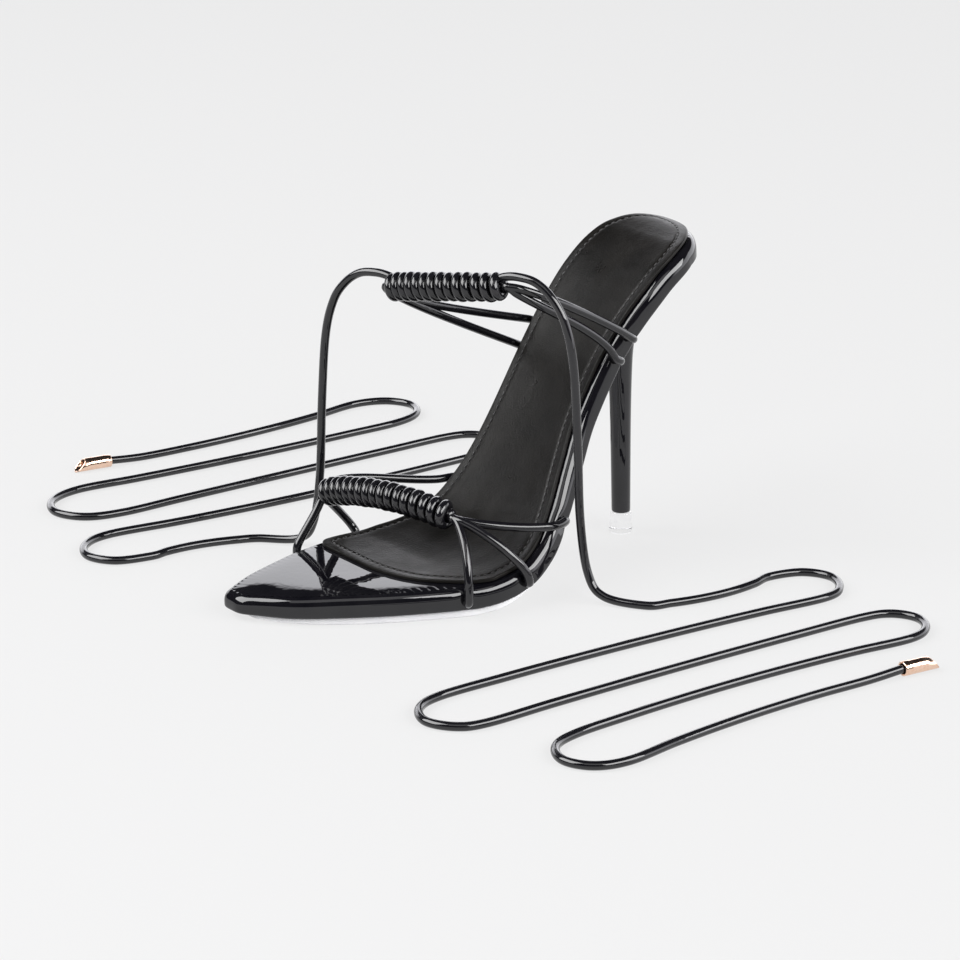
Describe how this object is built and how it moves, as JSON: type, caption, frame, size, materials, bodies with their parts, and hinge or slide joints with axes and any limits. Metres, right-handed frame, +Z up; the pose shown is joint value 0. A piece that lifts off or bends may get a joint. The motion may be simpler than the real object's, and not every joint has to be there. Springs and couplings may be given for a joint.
{
  "type": "lace-up heeled sandal",
  "caption": "Open stiletto sandal for the left foot: pointed platform sole, slim heel, wound cord straps over toes and instep, and free ties that lie on the floor.",
  "frame": {"origin": "on the floor under the middle of the shoe's box, ties left out", "axes": "+Z up, toe towards -Y, lateral side of the left foot towards +X"},
  "size_m": [0.362, 0.2056, 0.1197],
  "materials": {
    "patent": "black patent with a clear high gloss",
    "cord": "black glossy round cord",
    "lining": "dark fine-grained satin",
    "outsole": "pale matte",
    "heel_tip": "clear plastic, slightly frosted",
    "metal": "polished rose gold"
  },
  "bodies": {
    "root": {"platform": "patent", "sock": "lining", "outsole": "outsole", "heel": "patent", "heel_tip": "heel_tip", "toe_cords": "cord", "toe_wrap": "cord", "instep_cords": "cord", "instep_wrap": "cord", "tie_lateral": "cord", "tie_medial": "cord", "tie_tip_lateral": "metal", "tie_tip_medial": "metal"}
  },
  "joints": []
}
